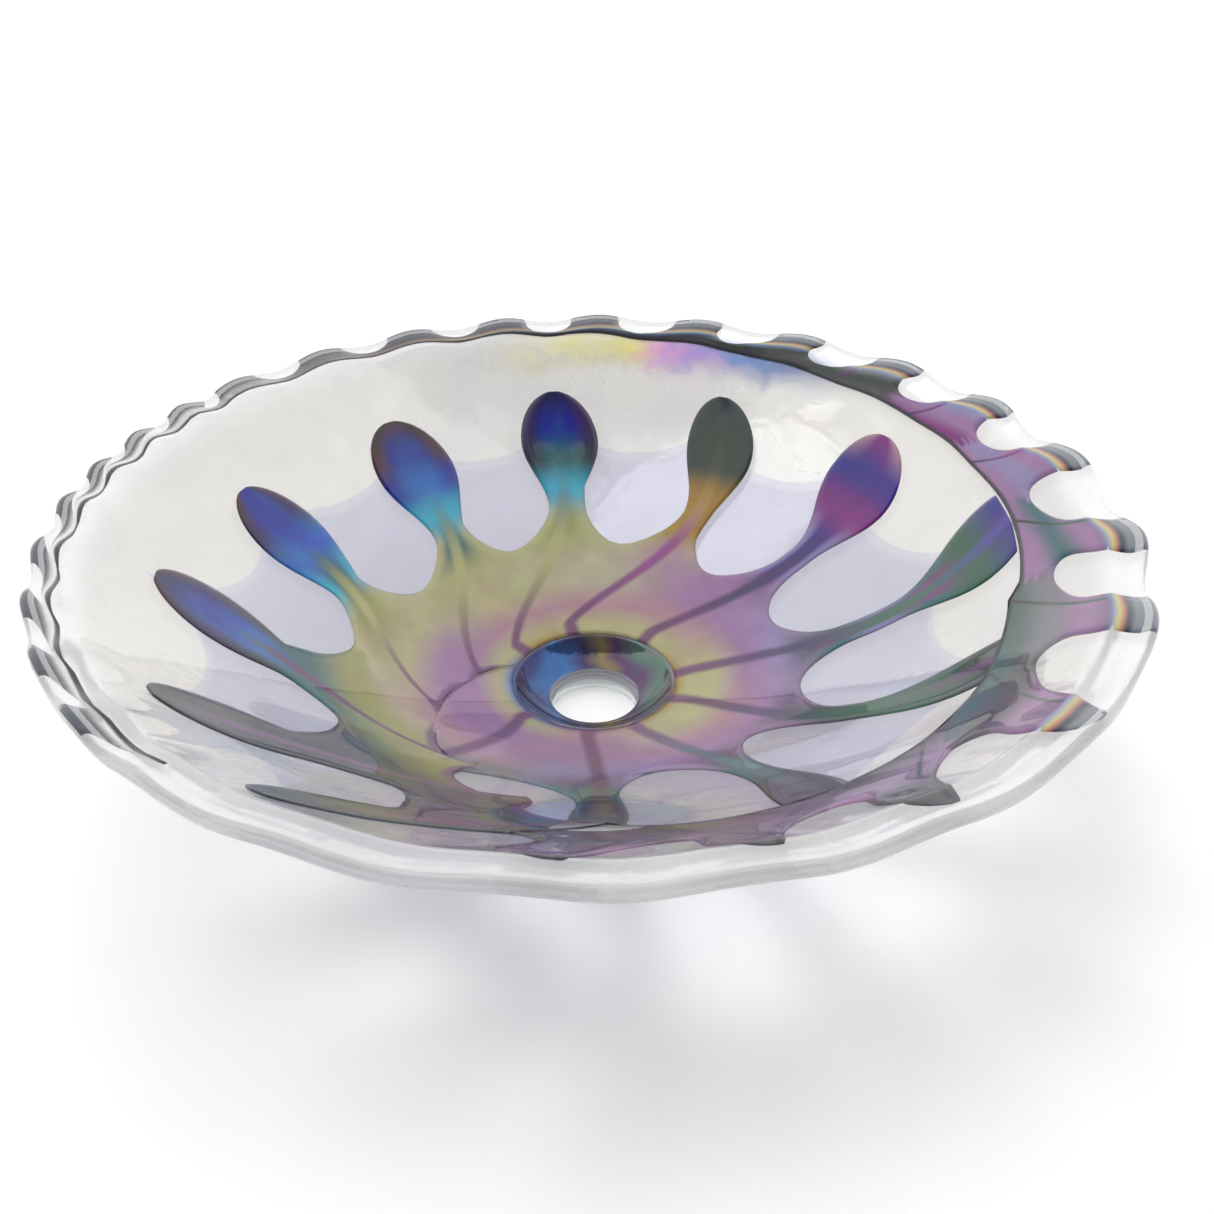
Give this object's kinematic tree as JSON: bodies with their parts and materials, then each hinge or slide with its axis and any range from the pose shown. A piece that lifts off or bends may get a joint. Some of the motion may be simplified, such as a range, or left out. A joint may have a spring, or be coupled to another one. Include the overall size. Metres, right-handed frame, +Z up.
{
  "type": "vessel basin",
  "caption": "Round blown glass basin with a flared, waved lip, a centre drain hole in a dished seat, a foot pad, and a dark iridescent trail combed into fingers.",
  "frame": {"origin": "centre of the foot pad's ground underside, on the axis of the drain hole", "axes": "+Z up along the drain hole's axis, through the open top of the basin; the trail winds outwards counter-clockwise about +Z; -Y is the side that the basin is looked at from"},
  "size_m": [0.5, 0.5, 0.1314],
  "materials": {
    "wall_glass": "clear blown glass with a pearly iridescent skin, fire-polished",
    "pad_glass": "clear glass, ground flat underneath",
    "trail_glass": "dark glass thread fused into the wall, iridescent blue, violet, green and gold"
  },
  "bodies": {
    "root": {"bowl_wall": "wall_glass", "foot_pad": "pad_glass", "trail_first_turn": "trail_glass", "trail_second_turn": "trail_glass"}
  },
  "joints": []
}
